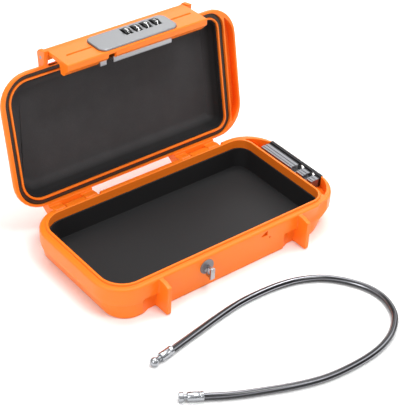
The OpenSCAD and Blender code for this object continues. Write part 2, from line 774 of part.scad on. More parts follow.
module dial_sleeve(i) {
    color(zinc_grey) at_flap() translate([dial_x(i), axle_in, -axle_down]) difference() {
        rod_x(-dial_w / 2 - 0.6, dial_w / 2 + 0.6, 0, 0, sleeve_r);
        rod_x(-dial_pitch, dial_pitch, 0, 0, axle_r + fit);
    }
}

module dial_1() { dial(1); }
module dial_2() { dial(2); }
module dial_3() { dial(3); }
module dial_4() { dial(4); }
module dial_sleeve_1() { dial_sleeve(1); }
module dial_sleeve_2() { dial_sleeve(2); }
module dial_sleeve_3() { dial_sleeve(3); }
module dial_sleeve_4() { dial_sleeve(4); }

module lock_bolt() {
    color(steel) at_latched() translate([bolt_x0, bolt_y - bolt_t / 2, bolt_z - bolt_w / 2])
        cube([bolt_x1 - bolt_x0, bolt_t, bolt_w]);
}

// The cable lies on the floor in one loose loop, through these points at its middle
cable_points = [
    [-99, -113], [-82, -110], [-65, -107], [-42, -103], [-18, -100], [4, -100], [25, -102], [44, -107],
    [62, -117], [76, -133], [84, -150], [85, -167], [79, -183], [70, -193], [56, -202], [37, -208],
    [14, -210], [-16, -208], [-42, -201], [-71, -189], [-92, -179], [-110, -168]
];
route_steps = 2; // rings between one point and the next
cable_sides = 10;

function route_at(p, i) = p[max(0, min(len(p) - 1, i))];
// Smooth curve through the points
function route_point(p, i, t) =
    let (a = route_at(p, i - 1), b = route_at(p, i), c = route_at(p, i + 1), d = route_at(p, i + 2))
    0.5 * (2 * b + (c - a) * t + (2 * a - 5 * b + 4 * c - d) * t * t + (3 * b - a - 3 * c + d) * t * t * t);
route = [
    for (i = [0 : len(cable_points) - 2], s = [0 : route_steps - 1]) route_point(cable_points, i, s / route_steps),
    cable_points[len(cable_points) - 1]
];
function heading(i) =
    let (v = i == 0 ? route[1] - route[0]
        : i == len(route) - 1 ? route[i] - route[i - 1] : route[i + 1] - route[i - 1])
    v / norm(v);

module security_cable() {
    n = len(route);
    m = cable_sides;
    ring_points = [
        for (i = [0 : n - 1], k = [0 : m - 1])
            let (h = heading(i), a = 360 * (k + 0.5) / m, r = cable_d / 2)
            [route[i][0] - h[1] * r * cos(a), route[i][1] + h[0] * r * cos(a), r + r * sin(a)]
    ];
    sides = [
        for (i = [0 : n - 2], k = [0 : m - 1], half = [0, 1])
            let (a = i * m + k, b = i * m + (k + 1) % m)
            half == 0 ? [a, b, b + m] : [a, b + m, a + m]
    ];
    color(dark_metal) polyhedron(
        points = ring_points,
        faces = concat(sides, [[for (k = [m - 1 : -1 : 0]) k]], [[for (k = [0 : m - 1]) (n - 1) * m + k]])
    );
}

// Puts the +X axis along the cable where it ends, pointing away from it
module at_cable_end(i) {
    h = i == 0 ? -heading(0) : heading(len(route) - 1);
    translate([route[i][0], route[i][1], ferrule_d / 2 + 0.02]) rotate([0, 0, atan2(h[1], h[0])]) children();
}

module ferrule(i) {
    color(steel) at_cable_end(i) rotate([0, 90, 0]) {
        cylinder(r = ferrule_d / 2, h = ferrule_l - 1.5);
        translate([0, 0, ferrule_l - 1.5]) cylinder(r1 = ferrule_d / 2, r2 = ferrule_d / 2 - 0.8, h = 1.5);
    }
}

module cable_ferrule_a() { ferrule(0); }
module cable_ferrule_b() { ferrule(len(route) - 1); }

module cable_ball_head() {
    color(steel) at_cable_end(0) translate([ferrule_l, 0, 0]) {
        rotate([0, 90, 0]) cylinder(r = 2.3, h = neck_l + 2);
        translate([neck_l + head_round_d / 2 - 0.6, 0, 0]) sphere(ferrule_d / 2);
    }
}

module cable_flat_head() {
    color(steel) at_cable_end(len(route) - 1) translate([ferrule_l, 0, 0]) rotate([0, 90, 0]) {
        cylinder(r = 2.3, h = neck_l + 1);
        translate([0, 0, neck_l]) cylinder(r = ferrule_d / 2, h = 4);
    }
}

base_tub();
base_liner();
cable_anchor();
anchor_screws();
striker();
striker_flange();
striker_nut();
hinge_pin_left();
hinge_pin_right();
lid_shell();
lid_gasket();
lid_liner();
flap_pin();
latch_flap();
lock_face_plate();
lock_case();
lock_backplate();
lock_screws();
dial_axle();
detent_spring();
dial_1();
dial_2();
dial_3();
dial_4();
dial_sleeve_1();
dial_sleeve_2();
dial_sleeve_3();
dial_sleeve_4();
lock_bolt();
security_cable();
cable_ferrule_a();
cable_ferrule_b();
cable_ball_head();
cable_flat_head();
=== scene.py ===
import json
import math

import bmesh
import bpy
from bpy.props import FloatProperty, FloatVectorProperty, PointerProperty, StringProperty
from mathutils import Matrix, Vector

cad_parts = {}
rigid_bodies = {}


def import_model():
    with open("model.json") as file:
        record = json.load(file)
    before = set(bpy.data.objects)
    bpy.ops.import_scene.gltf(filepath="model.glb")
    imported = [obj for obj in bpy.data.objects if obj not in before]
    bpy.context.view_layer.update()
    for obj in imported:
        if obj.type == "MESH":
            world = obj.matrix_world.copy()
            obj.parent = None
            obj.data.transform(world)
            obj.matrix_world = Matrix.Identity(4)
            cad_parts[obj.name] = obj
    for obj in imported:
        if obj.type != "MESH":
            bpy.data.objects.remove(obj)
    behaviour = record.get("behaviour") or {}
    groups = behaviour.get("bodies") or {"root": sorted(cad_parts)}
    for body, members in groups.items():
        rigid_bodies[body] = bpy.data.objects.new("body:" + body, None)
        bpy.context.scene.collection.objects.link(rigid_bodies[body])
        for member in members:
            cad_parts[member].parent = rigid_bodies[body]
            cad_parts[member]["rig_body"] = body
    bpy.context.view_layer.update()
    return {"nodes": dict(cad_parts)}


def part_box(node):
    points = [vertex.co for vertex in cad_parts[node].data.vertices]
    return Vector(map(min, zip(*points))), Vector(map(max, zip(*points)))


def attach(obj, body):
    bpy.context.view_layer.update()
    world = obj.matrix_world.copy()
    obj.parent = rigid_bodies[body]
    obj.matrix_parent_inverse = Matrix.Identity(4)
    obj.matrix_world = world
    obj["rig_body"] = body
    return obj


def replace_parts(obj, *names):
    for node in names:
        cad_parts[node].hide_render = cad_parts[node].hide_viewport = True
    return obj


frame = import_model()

bl_info = {
    "name": "Portable safe",
    "version": (1, 0, 0),
    "blender": (4, 5, 0),
    "location": "View3D > Sidebar > Safe",
    "description": "Dresses the packed portable safe in its finished pieces and materials",
    "category": "Add Mesh",
}

MM = 0.001
AXES = [Vector(axis) for axis in ((1, 0, 0), (0, 1, 0), (0, 0, 1))]
ACROSS, UPRIGHT = AXES[0], AXES[2]

# How the construction model's meshes are read and rounded
WELD = 0.002 * MM  # corners closer than this are one point
FLAT = math.radians(0.02)  # facets that turn less than this are one face
SMOOTH = math.radians(38)  # faces that turn less than this are shaded as one
SHARP = math.radians(32)  # edges that turn more than this are rounded
SMALL_OUTLINE = 6 * MM  # marks and bores smaller than this keep their sharp edges
NEAR = 0.1 * MM  # slack where corners and faces are picked by their place

# The flap hangs from the open lid, its face turned this far about X from where it is latched
LID_OPEN = 102.1  # degrees from shut
FLAP_HANG = 16  # degrees that it hangs in from its latched place
FACE_LEAN = 5  # degrees that its face leans from upright when it is latched
FLAP_TURN = math.radians(-(LID_OPEN - FLAP_HANG + FACE_LEAN))
FLAP_OUT = Matrix.Rotation(FLAP_TURN, 3, "X") @ Vector((0, -1, 0))
FLAP_UP = Matrix.Rotation(FLAP_TURN, 3, "X") @ UPRIGHT

# The flap's two long grooves
GROOVE_LENGTH = 20 * MM  # they are longer than this
GROOVE_WIDTH = 1 * MM  # they are narrower than this in the construction model
GROOVE_REACH = 1 * MM  # their corners are no further than this from their bottoms
GROOVE_WIDER = 2.2  # times as wide as in the construction model
GROOVE_DEEPER = 0.6 * MM

# The front wall's two moulded marks, a triangle and a dot
MARKS_Y = -63 * MM  # place of their bottoms in the construction model
MARKS_FRONT = -59.5 * MM  # their corners stand in front of this
MARKS_LOW = 15 * MM  # they stand above this
MARKS_DEEPER = 3 * MM
MARKS = (  # for each, two corners and the corner that stays, on X and Z in mm, and its growth
    ((34, 26.2), (38.5, 29.5), (34, 29.5), 1.7),
    ((44, 20.8), (45, 21.8), (44, 21.8), 1.5),
)

RAIL_WIDTH = 5.5 * MM  # outer rail of the cable anchor, which gets a painted dark reflection

# Grain of the blasted castings in mm: about 0.1 in reality, and drawn coarser so that it shows
CAST_GRAIN, CAST_DEPTH = 0.6, 0.03

# The cable's route on the floor, in millimetres, as the construction model has it
CABLE_ROUTE = [
    (-99, -113), (-82, -110), (-65, -107), (-42, -103), (-18, -100), (4, -100), (25, -102),
    (44, -107), (62, -117), (76, -133), (84, -150), (85, -167), (79, -183), (70, -193), (56, -202),
    (37, -208), (14, -210), (-16, -208), (-42, -201), (-71, -189), (-92, -179), (-110, -168),
]
FITTING_HEIGHT = 3.82 * MM  # middle of the cable's end fittings above the floor
SLEEVE_LAP = 0.4  # mm that a sleeve starts inside the coating
HEAD_START = 13.2  # mm from the start of a sleeve to the start of its head

# Turned fittings, as lengths along the axis and the radii that they lead to, in millimetres
SLEEVE = (
    (0, 3.3), (0.5, 3.8), (1.8, 3.8), (0.3, 3.6), (0.9, 3.6), (0.3, 3.8), (8.5, 3.8), (0.9, 3.1),
)
FLAT_HEAD = (
    (0, 2.3), (0.6, 2.3), (0.3, 1.9), (1.1, 1.9), (0.3, 3.3), (0.4, 3.8), (3.2, 3.8), (0.5, 3.3),
    (0.1, 2.0),
)
BALL_RADIUS, NECK_RADIUS = 3.8, 1.6
BALL_NECK = ((0, 2.2), (2.4, 2.2), (0.2, NECK_RADIUS), (0.5, NECK_RADIUS))
BALL_RINGS = 18
BALL_TIP = 0.12  # radians from the ball's far pole, where a small flat closes it

# A number wheel
NUMBERS = 10
NOTCH_HALF = 5  # degrees from the middle of a grip notch to its side
WHEEL_SIDES = 120
WHEEL_RECESS = 0.35 * MM  # depth of its recessed sides
WHEEL_STEP = 0.05 * MM  # slope from the rim to the recess
WHEEL_BORE = 2.3 * MM  # radius
WHEEL_EDGE = 0.15 * MM  # rounding
FONT_TO_DIGIT = 1.38  # the font's size over the height of a digit
INK_ROW, INK_ROWS = 0.45 * MM, 4  # each digit is cut in rows, so that it bends round the wheel
INK_OVER = 0.04 * MM  # how far the ink stands over the wheel
INK_DEPTH = 0.12 * MM

CAMERA_PLACE = (-0.5692, -0.6976, 0.6982)
CAMERA_TURN = (-40.055, 53.80, 3.111)  # heading, tilt from straight down, and roll, in degrees
CAMERA_SENSOR, CAMERA_LENS = 36, 115.74  # width of the sensor and focal length, in millimetres
FLOOR_SIZE = 12  # metres
LAMPS = (  # name, place, aim, width and height in metres, and watts
    ("Key lamp", (0.3, -0.9, 2.3), (0, 0, 0.03), 0.7, 0.7, 22),
    ("Top lamp", (0.3, 0.6, 2.4), (0, 0, 0.05), 2.6, 0.6, 40),
    ("Back lamp", (1.25, 1.45, 1.25), (0, 0.05, 0.12), 1.0, 0.8, 6),
    ("Right lamp", (1.9, -0.9, 0.9), (0.1, 0, 0.05), 1.0, 1.0, 8),
    ("Left lamp", (-2.0, -0.6, 1.2), (-0.1, 0, 0.05), 0.8, 0.8, 14),
)


def linear(hex_colour):
    """Linear red, green, blue and alpha of an sRGB colour written as #RRGGBB"""
    channels = [int(hex_colour[i:i + 2], 16) / 255 for i in (1, 3, 5)]
    return tuple(
        c / 12.92 if c <= 0.04045 else ((c + 0.055) / 1.055) ** 2.4 for c in channels
    ) + (1.0,)


def size(name, description, millimetres):
    """A length for the panel"""
    return FloatProperty(
        name=name, description=description, default=millimetres * MM, min=0, precision=5,
        subtype="DISTANCE", unit="LENGTH"
    )


def colour(name, description, hex_colour):
    """A colour for the panel"""
    return FloatVectorProperty(
        name=name, description=description, default=linear(hex_colour), size=4, min=0, max=1,
        subtype="COLOR"
    )


class SafeSizes(bpy.types.PropertyGroup):
    """Sizes of the finish that a user would change"""

    mould_edge: size("Moulded edge", "Rounding on the edges of the orange mouldings", 0.6)
    liner_edge: size("Liner edge", "Rounding on the edges of the liners", 0.4)
    lining_round: size("Lining hollow", "Rounding where the lid lining's walls meet its floor", 5)
    gasket_edge: size("Gasket edge", "Rounding on the lips of the gasket", 0.8)
    metal_edge: size("Metal edge", "Rounding on the edges of the castings and plates", 0.3)
    wheel_notch: size("Wheel notch", "Depth of the grip notches between a wheel's numbers", 0.45)
    wheel_rim: size("Wheel rim", "Width of the rim around a wheel's recessed sides", 0.7)
    number_height: size("Number height", "Height of a number on a wheel", 3.5)
    number_weight: size("Number weight", "Thickening of a number's strokes", 0.16)
    cable_width: size("Cable diameter", "Diameter of the coated cable", 6)


class SafeColours(bpy.types.PropertyGroup):
    """Colours that a user would change"""

    shell: colour("Shell", "Base, lid and flap", "#FF7F1C")
    liner: colour("Base liner", "Liner of the base", "#1F1F20")
    lining: colour("Lid lining", "Lining of the lid's hollow", "#434243")
    gasket: colour("Gasket", "Seal in the lid", "#33261C")
    plate: colour("Face plate", "Plate around the number wheels", "#8C8D8F")
    casting: colour("Castings", "Cable anchor and striker washer", "#909195")
    case: colour("Lock case", "Casting that holds the lock", "#B6B7BA")
    steel: colour("Steel", "Pins, screws and plates", "#94979B")
    fitting: colour("Fittings", "Nickel plated cable ends and striker", "#A9ABAF")
    wheel: colour("Number wheels", "Wheels of the lock", "#131314")
    number: colour("Numbers", "Ink of the numbers", "#FFFFFF")
    cable: colour("Cable", "Strands under the clear jacket", "#262628")
    floor: colour("Floor", "Studio floor", "#FFFFFF")


def tint(name):
    """A colour of the panel, by its name"""
    return getattr(bpy.context.scene.safe_colours, name)


def add(tree, kind, inputs=None, **settings):
    """Adds a node with its settings. An input is a value, or another node's output."""
    node = tree.nodes.new(kind)
    for name, value in settings.items():
        setattr(node, name, value)
    for name, value in (inputs or {}).items():
        if isinstance(value, bpy.types.NodeSocket):
            tree.links.new(value, node.inputs[name])
        else:
            node.inputs[name].default_value = value
    return node


def begin(name):
    """A new material with an empty tree, and its Object coordinates"""
    material = bpy.data.materials.new(name)
    material.use_nodes = True
    tree = material.node_tree
    tree.nodes.clear()
    return material, tree, add(tree, "ShaderNodeTexCoord").outputs["Object"]


def close(tree, shader):
    """Ends a material's tree with its shader"""
    add(tree, "ShaderNodeOutputMaterial", {"Surface": shader.outputs[0]})


def per_metre(millimetres):
    """Scale of a pattern whose features are this far apart"""
    return 1 / (millimetres * MM)


def varied(tree, tone, factor, low, high):
    """A colour made darker and lighter by a pattern between 0 and 1"""
    value = add(tree, "ShaderNodeMapRange", {"Value": factor, "To Min": low, "To Max": high})
    shade = add(tree, "ShaderNodeHueSaturation", {"Color": tone, "Value": value.outputs[0]})
    return shade.outputs[0]


def moulded_plastic(name, tone, roughness, grain, depth, ior):
    """Injection-moulded plastic: an even skin with its tool's grain and the melt's faint flow"""
    material, tree, place = begin(name)
    # Flow of the melt, in soft patches about 30 mm across
    flow = add(tree, "ShaderNodeTexNoise", {
        "Vector": place, "Scale": per_metre(30), "Detail": 2.0,
    }).outputs[0]
    texture = add(tree, "ShaderNodeTexNoise", {
        "Vector": place, "Scale": per_metre(grain), "Detail": 3.0,
    }).outputs[0]
    rough = add(tree, "ShaderNodeMapRange", {
        "Value": texture, "To Min": roughness - 0.05, "To Max": roughness + 0.05,
    }).outputs[0]
    bump = add(tree, "ShaderNodeBump", {
        "Height": texture, "Strength": 0.35, "Distance": depth * MM,
    }).outputs[0]
    close(tree, add(tree, "ShaderNodeBsdfPrincipled", {
        "Base Color": varied(tree, tone, flow, 0.97, 1.03), "Roughness": rough, "IOR": ior,
        "Specular IOR Level": 0.3, "Normal": bump,
    }))
    return material


def abs_shell():
    """ABS, moulded in a spark-eroded tool: saturated colour, broad highlights on a satin skin"""
    # Real grain is about 0.15 mm, drawn at 0.5 mm so that it shows
    return moulded_plastic(
        "abs_moulded_satin", tint("shell"), roughness=0.36, grain=0.5, depth=0.03, ior=1.54
    )


def pp_liner():
    """Polypropylene, moulded: dark, dull and a little waxy"""
    # Real grain is about 0.2 mm, drawn at 0.6 mm so that it shows
    return moulded_plastic(
        "polypropylene_moulded_matt", tint("liner"), roughness=0.6, grain=0.6, depth=0.05, ior=1.49
    )


def acetal_wheel():
    """Acetal, moulded: dense black with a soft shine"""
    # Real grain is about 0.1 mm, drawn at 0.4 mm so that it shows
    return moulded_plastic(
        "acetal_moulded_black", tint("wheel"), roughness=0.38, grain=0.4, depth=0.02, ior=1.48
    )


def flocked_lining(outward, floor_level):
    """Nylon flock on a formed sheet: short fibres with no gloss, with painted shade up the walls"""
    material, tree, place = begin("nylon_flock_lining")
    up = add(
        tree, "ShaderNodeVectorMath", {0: place, 1: outward}, operation="DOT_PRODUCT"
    ).outputs["Value"]
    # Painted shade, darker up the walls of the hollow, which start about 1 mm over the floor
    painted_wall_shade = add(tree, "ShaderNodeMapRange", {
        "Value": up, "From Min": floor_level + 1 * MM, "From Max": floor_level + 6 * MM,
        "To Min": 1.0, "To Max": 0.36,
    }).outputs[0]
    # Real fibres are about 0.02 mm thick, drawn in tufts 0.9 mm apart so that they show
    pile = add(tree, "ShaderNodeTexNoise", {
        "Vector": place, "Scale": per_metre(0.9), "Detail": 4.0,
    }).outputs[0]
    # Patches about 18 mm across, where the pile has been brushed one way or the other
    laid = add(tree, "ShaderNodeTexNoise", {
        "Vector": place, "Scale": per_metre(18), "Detail": 3.0,
    }).outputs[0]
    both = add(tree, "ShaderNodeMath", {0: pile, 1: laid}, operation="MULTIPLY").outputs[0]
    bump = add(tree, "ShaderNodeBump", {
        "Height": pile, "Strength": 0.5, "Distance": 0.12 * MM,
    }).outputs[0]
    mottled = varied(tree, tint("lining"), both, 0.8, 1.4)
    shade = add(tree, "ShaderNodeHueSaturation", {"Color": mottled, "Value": painted_wall_shade}).outputs[0]
    close(tree, add(tree, "ShaderNodeBsdfPrincipled", {
        "Base Color": shade, "Roughness": 0.92, "Specular IOR Level": 0.2, "Normal": bump,
    }))
    return material


def rubber_gasket():
    """EPDM rubber, extruded: brown-black, dull, with fine lines along its length"""
    material, tree, place = begin("epdm_rubber_extruded")
    # Bloom on the rubber, in patches about 6 mm across
    bloom = add(tree, "ShaderNodeTexNoise", {
        "Vector": place, "Scale": per_metre(6), "Detail": 4.0,
    }).outputs[0]
    # Real lines are about 0.2 mm apart, drawn 1 mm apart so that they show
    lines = add(tree, "ShaderNodeMapping", {
        "Vector": place, "Scale": (per_metre(12), per_metre(1), per_metre(12)),
    }).outputs[0]
    drawn = add(tree, "ShaderNodeTexNoise", {
        "Vector": lines, "Scale": 1.0, "Detail": 2.0,
    }).outputs[0]
    rough = add(tree, "ShaderNodeMapRange", {
        "Value": bloom, "To Min": 0.5, "To Max": 0.68,
    }).outputs[0]
    bump = add(tree, "ShaderNodeBump", {
        "Height": drawn, "Strength": 0.3, "Distance": 0.08 * MM,
    }).outputs[0]
    close(tree, add(tree, "ShaderNodeBsdfPrincipled", {
        "Base Color": varied(tree, tint("gasket"), bloom, 0.85, 1.2),
        "Roughness": rough, "IOR": 1.52, "Normal": bump,
    }))
    return material


def metal(name, tone, roughness, grain, depth, stretch=1, painted_dark_from=None):
    """A metal whose fine marks run along X when stretched. It can have a painted dark reflection
    beyond a place on X.
    """
    material, tree, place = begin(name)
    # Painted dark reflection on the metal beyond a place on X
    if painted_dark_from is not None:
        across = add(tree, "ShaderNodeSeparateXYZ", {0: place}).outputs["X"]
        dark = add(tree, "ShaderNodeMapRange", {
            "Value": across, "From Min": painted_dark_from, "From Max": painted_dark_from + 0.2 * MM,
            "To Min": 1.0, "To Max": 0.14,
        }).outputs[0]
        tone = add(tree, "ShaderNodeHueSaturation", {"Color": tone, "Value": dark}).outputs[0]
    marks = add(tree, "ShaderNodeMapping", {
        "Vector": place, "Scale": (per_metre(grain * stretch), per_metre(grain), per_metre(grain)),
    }).outputs[0]
    scratch = add(tree, "ShaderNodeTexNoise", {
        "Vector": marks, "Scale": 1.0, "Detail": 3.0,
    }).outputs[0]
    rough = add(tree, "ShaderNodeMapRange", {
        "Value": scratch, "To Min": roughness * 0.8, "To Max": roughness * 1.2,
    }).outputs[0]
    bump = add(tree, "ShaderNodeBump", {
        "Height": scratch, "Strength": 0.4, "Distance": depth * MM,
    }).outputs[0]
    close(tree, add(tree, "ShaderNodeBsdfPrincipled", {
        "Base Color": varied(tree, tone, scratch, 0.94, 1.04), "Metallic": 1.0,
        "Roughness": rough, "Normal": bump,
    }))
    return material


def satin_plate():
    """Zinc, cast and satin chromed: an even silver with fine brushing along the plate"""
    # Real brushing is about 0.1 mm apart, drawn at 0.35 mm so that it shows
    return metal(
        "zinc_satin_chromed", tint("plate"), roughness=0.38, grain=0.35, depth=0.01, stretch=30
    )


def bead_blasted_casting():
    """Zinc, die-cast and bead blasted: grey metal with a dull, grainy bloom"""
    return metal(
        "zinc_die_cast_blasted", tint("casting"), roughness=0.55, grain=CAST_GRAIN, depth=CAST_DEPTH
    )


def lock_casting():
    """Zinc, die-cast and plated over the blasting: paler than bare zinc, with the same bloom"""
    return metal(
        "zinc_die_cast_plated", tint("case"), roughness=0.5, grain=CAST_GRAIN, depth=CAST_DEPTH
    )


def anchor_casting():
    """Zinc, die-cast and bead blasted where the cable lies, with a painted dark reflection on its
    outer rail
    """
    return metal(
        "zinc_die_cast_painted_dark_rail", tint("casting"), roughness=0.55, grain=CAST_GRAIN,
        depth=CAST_DEPTH, painted_dark_from=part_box("cable_anchor")[1].x - RAIL_WIDTH
    )


def turned_steel():
    """Steel, turned and nickel plated: clear reflections, hardly softened by the plating"""
    # The plating is uneven over about 1.5 mm
    return metal("steel_nickel_plated", tint("fitting"), roughness=0.24, grain=1.5, depth=0.001)


def plain_steel():
    """Steel, drawn and zinc plated: grey shine with marks along the bar"""
    # Real draw marks are about 0.1 mm apart, drawn at 0.4 mm so that they show
    return metal(
        "steel_zinc_plated", tint("steel"), roughness=0.36, grain=0.4, depth=0.01, stretch=20
    )


def pad_printed_ink():
    """Two-part ink, pad printed: opaque white, slightly uneven and satin"""
    material, tree, place = begin("ink_pad_printed")
    # The film is uneven over about 0.8 mm
    film = add(tree, "ShaderNodeTexNoise", {
        "Vector": place, "Scale": per_metre(0.8), "Detail": 3.0,
    }).outputs[0]
    rough = add(tree, "ShaderNodeMapRange", {
        "Value": film, "To Min": 0.35, "To Max": 0.55,
    }).outputs[0]
    close(tree, add(tree, "ShaderNodeBsdfPrincipled", {
        "Base Color": varied(tree, tint("number"), film, 0.94, 1.0), "Roughness": rough, "IOR": 1.5,
    }))
    return material


def jacketed_cable():
    """Stranded steel in a clear vinyl jacket: dark strands with painted highlight lines under a
    hard gloss
    """
    material, tree, _ = begin("steel_cable_vinyl_jacket")
    uv = add(tree, "ShaderNodeUVMap", uv_map="Along").outputs[0]
    place = add(tree, "ShaderNodeSeparateXYZ", {0: uv}).outputs
    # Six strands that turn once round the cable in 1.5 m, far slower than real ones, so that
    # their painted highlight lines run nearly along it, as they show
    turns = add(tree, "ShaderNodeMath", {
        0: place["Y"], 1: per_metre(1500), 2: place["X"],
    }, operation="MULTIPLY_ADD").outputs[0]
    phase = add(
        tree, "ShaderNodeMath", {0: turns, 1: 6 * math.tau}, operation="MULTIPLY"
    ).outputs[0]
    wave = add(tree, "ShaderNodeMath", {0: phase}, operation="SINE").outputs[0]
    strand = add(tree, "ShaderNodeMapRange", {"Value": wave, "From Min": -1.0}).outputs[0]
    # Painted highlight: a narrow line on the crown of each strand, many times as bright as the dark
    # between them
    painted_glint = add(tree, "ShaderNodeMath", {0: strand, 1: 5.0}, operation="POWER").outputs[0]
    bump = add(tree, "ShaderNodeBump", {
        "Height": strand, "Strength": 0.3, "Distance": 0.06 * MM,
    }).outputs[0]
    close(tree, add(tree, "ShaderNodeBsdfPrincipled", {
        "Base Color": varied(tree, tint("cable"), painted_glint, 0.7, 20.0), "Metallic": 1.0,
        "Roughness": 0.3, "Normal": bump,
        "Coat Weight": 0.6, "Coat Roughness": 0.03, "Coat IOR": 1.5,
    }))
    return material


def paper_floor():
    """Seamless studio paper: white and quite matt, bright to the camera so that it ends in white"""
    material, tree, place = begin("studio_paper_white")
    # The fibres show as clumps about 2 mm across
    fibre = add(tree, "ShaderNodeTexNoise", {
        "Vector": place, "Scale": per_metre(2), "Detail": 4.0,
    }).outputs[0]
    # Away from the lamps the paper glows a little, where a studio has more lamps on its backdrop
    away = add(tree, "ShaderNodeVectorMath", {0: place}, operation="LENGTH").outputs["Value"]
    glow = add(tree, "ShaderNodeMapRange", {
        "Value": away, "From Min": 0.7, "From Max": 2.2, "To Max": 0.6,
    }).outputs[0]
    close(tree, add(tree, "ShaderNodeBsdfPrincipled", {
        "Base Color": varied(tree, tint("floor"), fibre, 0.99, 1.0), "Roughness": 0.9,
        "Specular IOR Level": 0.1, "Emission Color": linear("#FFFFFF"), "Emission Strength": glow,
    }))
    return material


def deselect():
    """Leaves nothing selected"""
    bpy.ops.object.select_all(action="DESELECT")


def pick(piece):
    """Makes a piece the only one selected"""
    deselect()
    piece.select_set(True)
    bpy.context.view_layer.objects.active = piece


def own_copy(node, name):
    """A CAD node's mesh as a piece of its own, its loose triangles merged into whole faces"""
    piece = bpy.data.objects.new(name, frame["nodes"][node].data.copy())
    bpy.context.collection.objects.link(piece)
    pick(piece)
    piece.data.materials.clear()
    bpy.ops.mesh.customdata_custom_splitnormals_clear()
    bpy.ops.object.mode_set(mode="EDIT")
    bpy.ops.mesh.select_all(action="SELECT")
    bpy.ops.mesh.remove_doubles(threshold=WELD)
    bpy.ops.mesh.dissolve_limited(angle_limit=FLAT)
    bpy.ops.object.mode_set(mode="OBJECT")
    return piece


def apply_modifier(piece, kind, **settings):
    """Adds a modifier with its settings and applies it"""
    pick(piece)
    modifier = piece.modifiers.new(kind.title(), kind)
    for name, value in settings.items():
        setattr(modifier, name, value)
    bpy.ops.object.modifier_apply(modifier=modifier.name)


def span(places, direction):
    """How far some places reach along a direction"""
    reach = [place.dot(direction) for place in places]
    return max(reach) - min(reach)


def face_width(face, edge):
    """How far a face reaches from one of its edges"""
    across = face.normal.cross(edge.verts[1].co - edge.verts[0].co).normalized()
    return span([corner.co for corner in face.verts], across)


def mark_edges(piece, width):
    """Marks the sharp edges with room to be rounded: not small outlines, nor narrow faces"""
    shape = bmesh.new()
    shape.from_mesh(piece.data)
    weights = shape.edges.layers.float
    weight = weights.get("bevel_weight_edge") or weights.new("bevel_weight_edge")
    left = {
        edge for edge in shape.edges
        if len(edge.link_faces) == 2 and edge.calc_face_angle() > SHARP
    }
    for edge in shape.edges:
        edge[weight] = 0
    while left:
        outline, ahead = [], [left.pop()]
        while ahead:
            edge = ahead.pop()
            outline.append(edge)
            beside = {other for corner in edge.verts for other in corner.link_edges} & left
            left -= beside
            ahead += beside
        places = [corner.co for edge in outline for corner in edge.verts]
        if max(span(places, axis) for axis in AXES) < SMALL_OUTLINE:
            continue
        for edge in outline:
            edge[weight] = all(face_width(face, edge) > 2 * width for face in edge.link_faces)
    shape.to_mesh(piece.data)
    shape.free()


def round_edges(piece, *widths, segments=3):
    """Rounds a piece's sharp edges, widest first, and shades its curved faces smooth"""
    for width in widths:
        mark_edges(piece, width)
        apply_modifier(
            piece, "BEVEL", width=width, segments=segments, limit_method="WEIGHT",
            use_clamp_overlap=False, loop_slide=False
        )
    pick(piece)
    bpy.ops.object.shade_smooth_by_angle(angle=SMOOTH)
    apply_modifier(piece, "WEIGHTED_NORMAL", mode="FACE_AREA", keep_sharp=True)


def give(piece, material, body):
    """Gives a new piece its material and the body that it moves with"""
    piece.data.materials.clear()
    piece.data.materials.append(material)
    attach(piece, body)
    return piece


def dress(node, name, material, slot, *edges, shaped=None, **rounding):
    """A CAD node's form with its edges rounded, as a finished piece that stands for the node"""
    piece = own_copy(node, name)
    if shaped:
        shaped(piece)
    round_edges(piece, *edges, **rounding)
    give(piece, material, frame["nodes"][node]["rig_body"])
    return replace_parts(piece, node)


def coat(material, *nodes):
    """Gives CAD nodes that keep their own form a material"""
    for node in nodes:
        mesh = frame["nodes"][node].data
        mesh.materials.clear()
        mesh.materials.append(material)


def choose(piece, kind, wanted):
    """In edit mode, selects the vertices or faces that pass a test, and nothing else"""
    bpy.ops.mesh.select_mode(type=kind)
    bpy.ops.mesh.select_all(action="DESELECT")
    shape = bmesh.from_edit_mesh(piece.data)
    for part in shape.verts if kind == "VERT" else shape.faces:
        part.select_set(wanted(part))
    shape.select_flush_mode()
    bmesh.update_edit_mesh(piece.data)


def deepen_marks(piece):
    """Sinks the front wall's two marks further in, so that they show as dark as on the safe"""
    def is_bottom(face):
        middle = face.calc_center_median()
        return face.normal.y < -0.99 and middle.z > MARKS_LOW and abs(middle.y - MARKS_Y) < NEAR

    bpy.ops.object.mode_set(mode="EDIT")
    choose(piece, "FACE", is_bottom)
    bpy.ops.transform.translate(value=(0, MARKS_DEEPER, 0))
    bpy.ops.object.mode_set(mode="OBJECT")


def enlarge_marks(piece):
    """Grows the front wall's two marks, each from one of its corners, to the size that they show"""
    bpy.ops.object.mode_set(mode="EDIT")
    for low, high, fixed, growth in MARKS:
        def in_mark(vertex):
            return vertex.co.y < MARKS_FRONT and all(
                low[k] * MM - NEAR < place < high[k] * MM + NEAR
                for k, place in enumerate((vertex.co.x, vertex.co.z))
            )

        choose(piece, "VERT", in_mark)
        bpy.ops.transform.resize(
            value=(growth, 1, growth), center_override=(fixed[0] * MM, MARKS_Y, fixed[1] * MM)
        )
    bpy.ops.object.mode_set(mode="OBJECT")


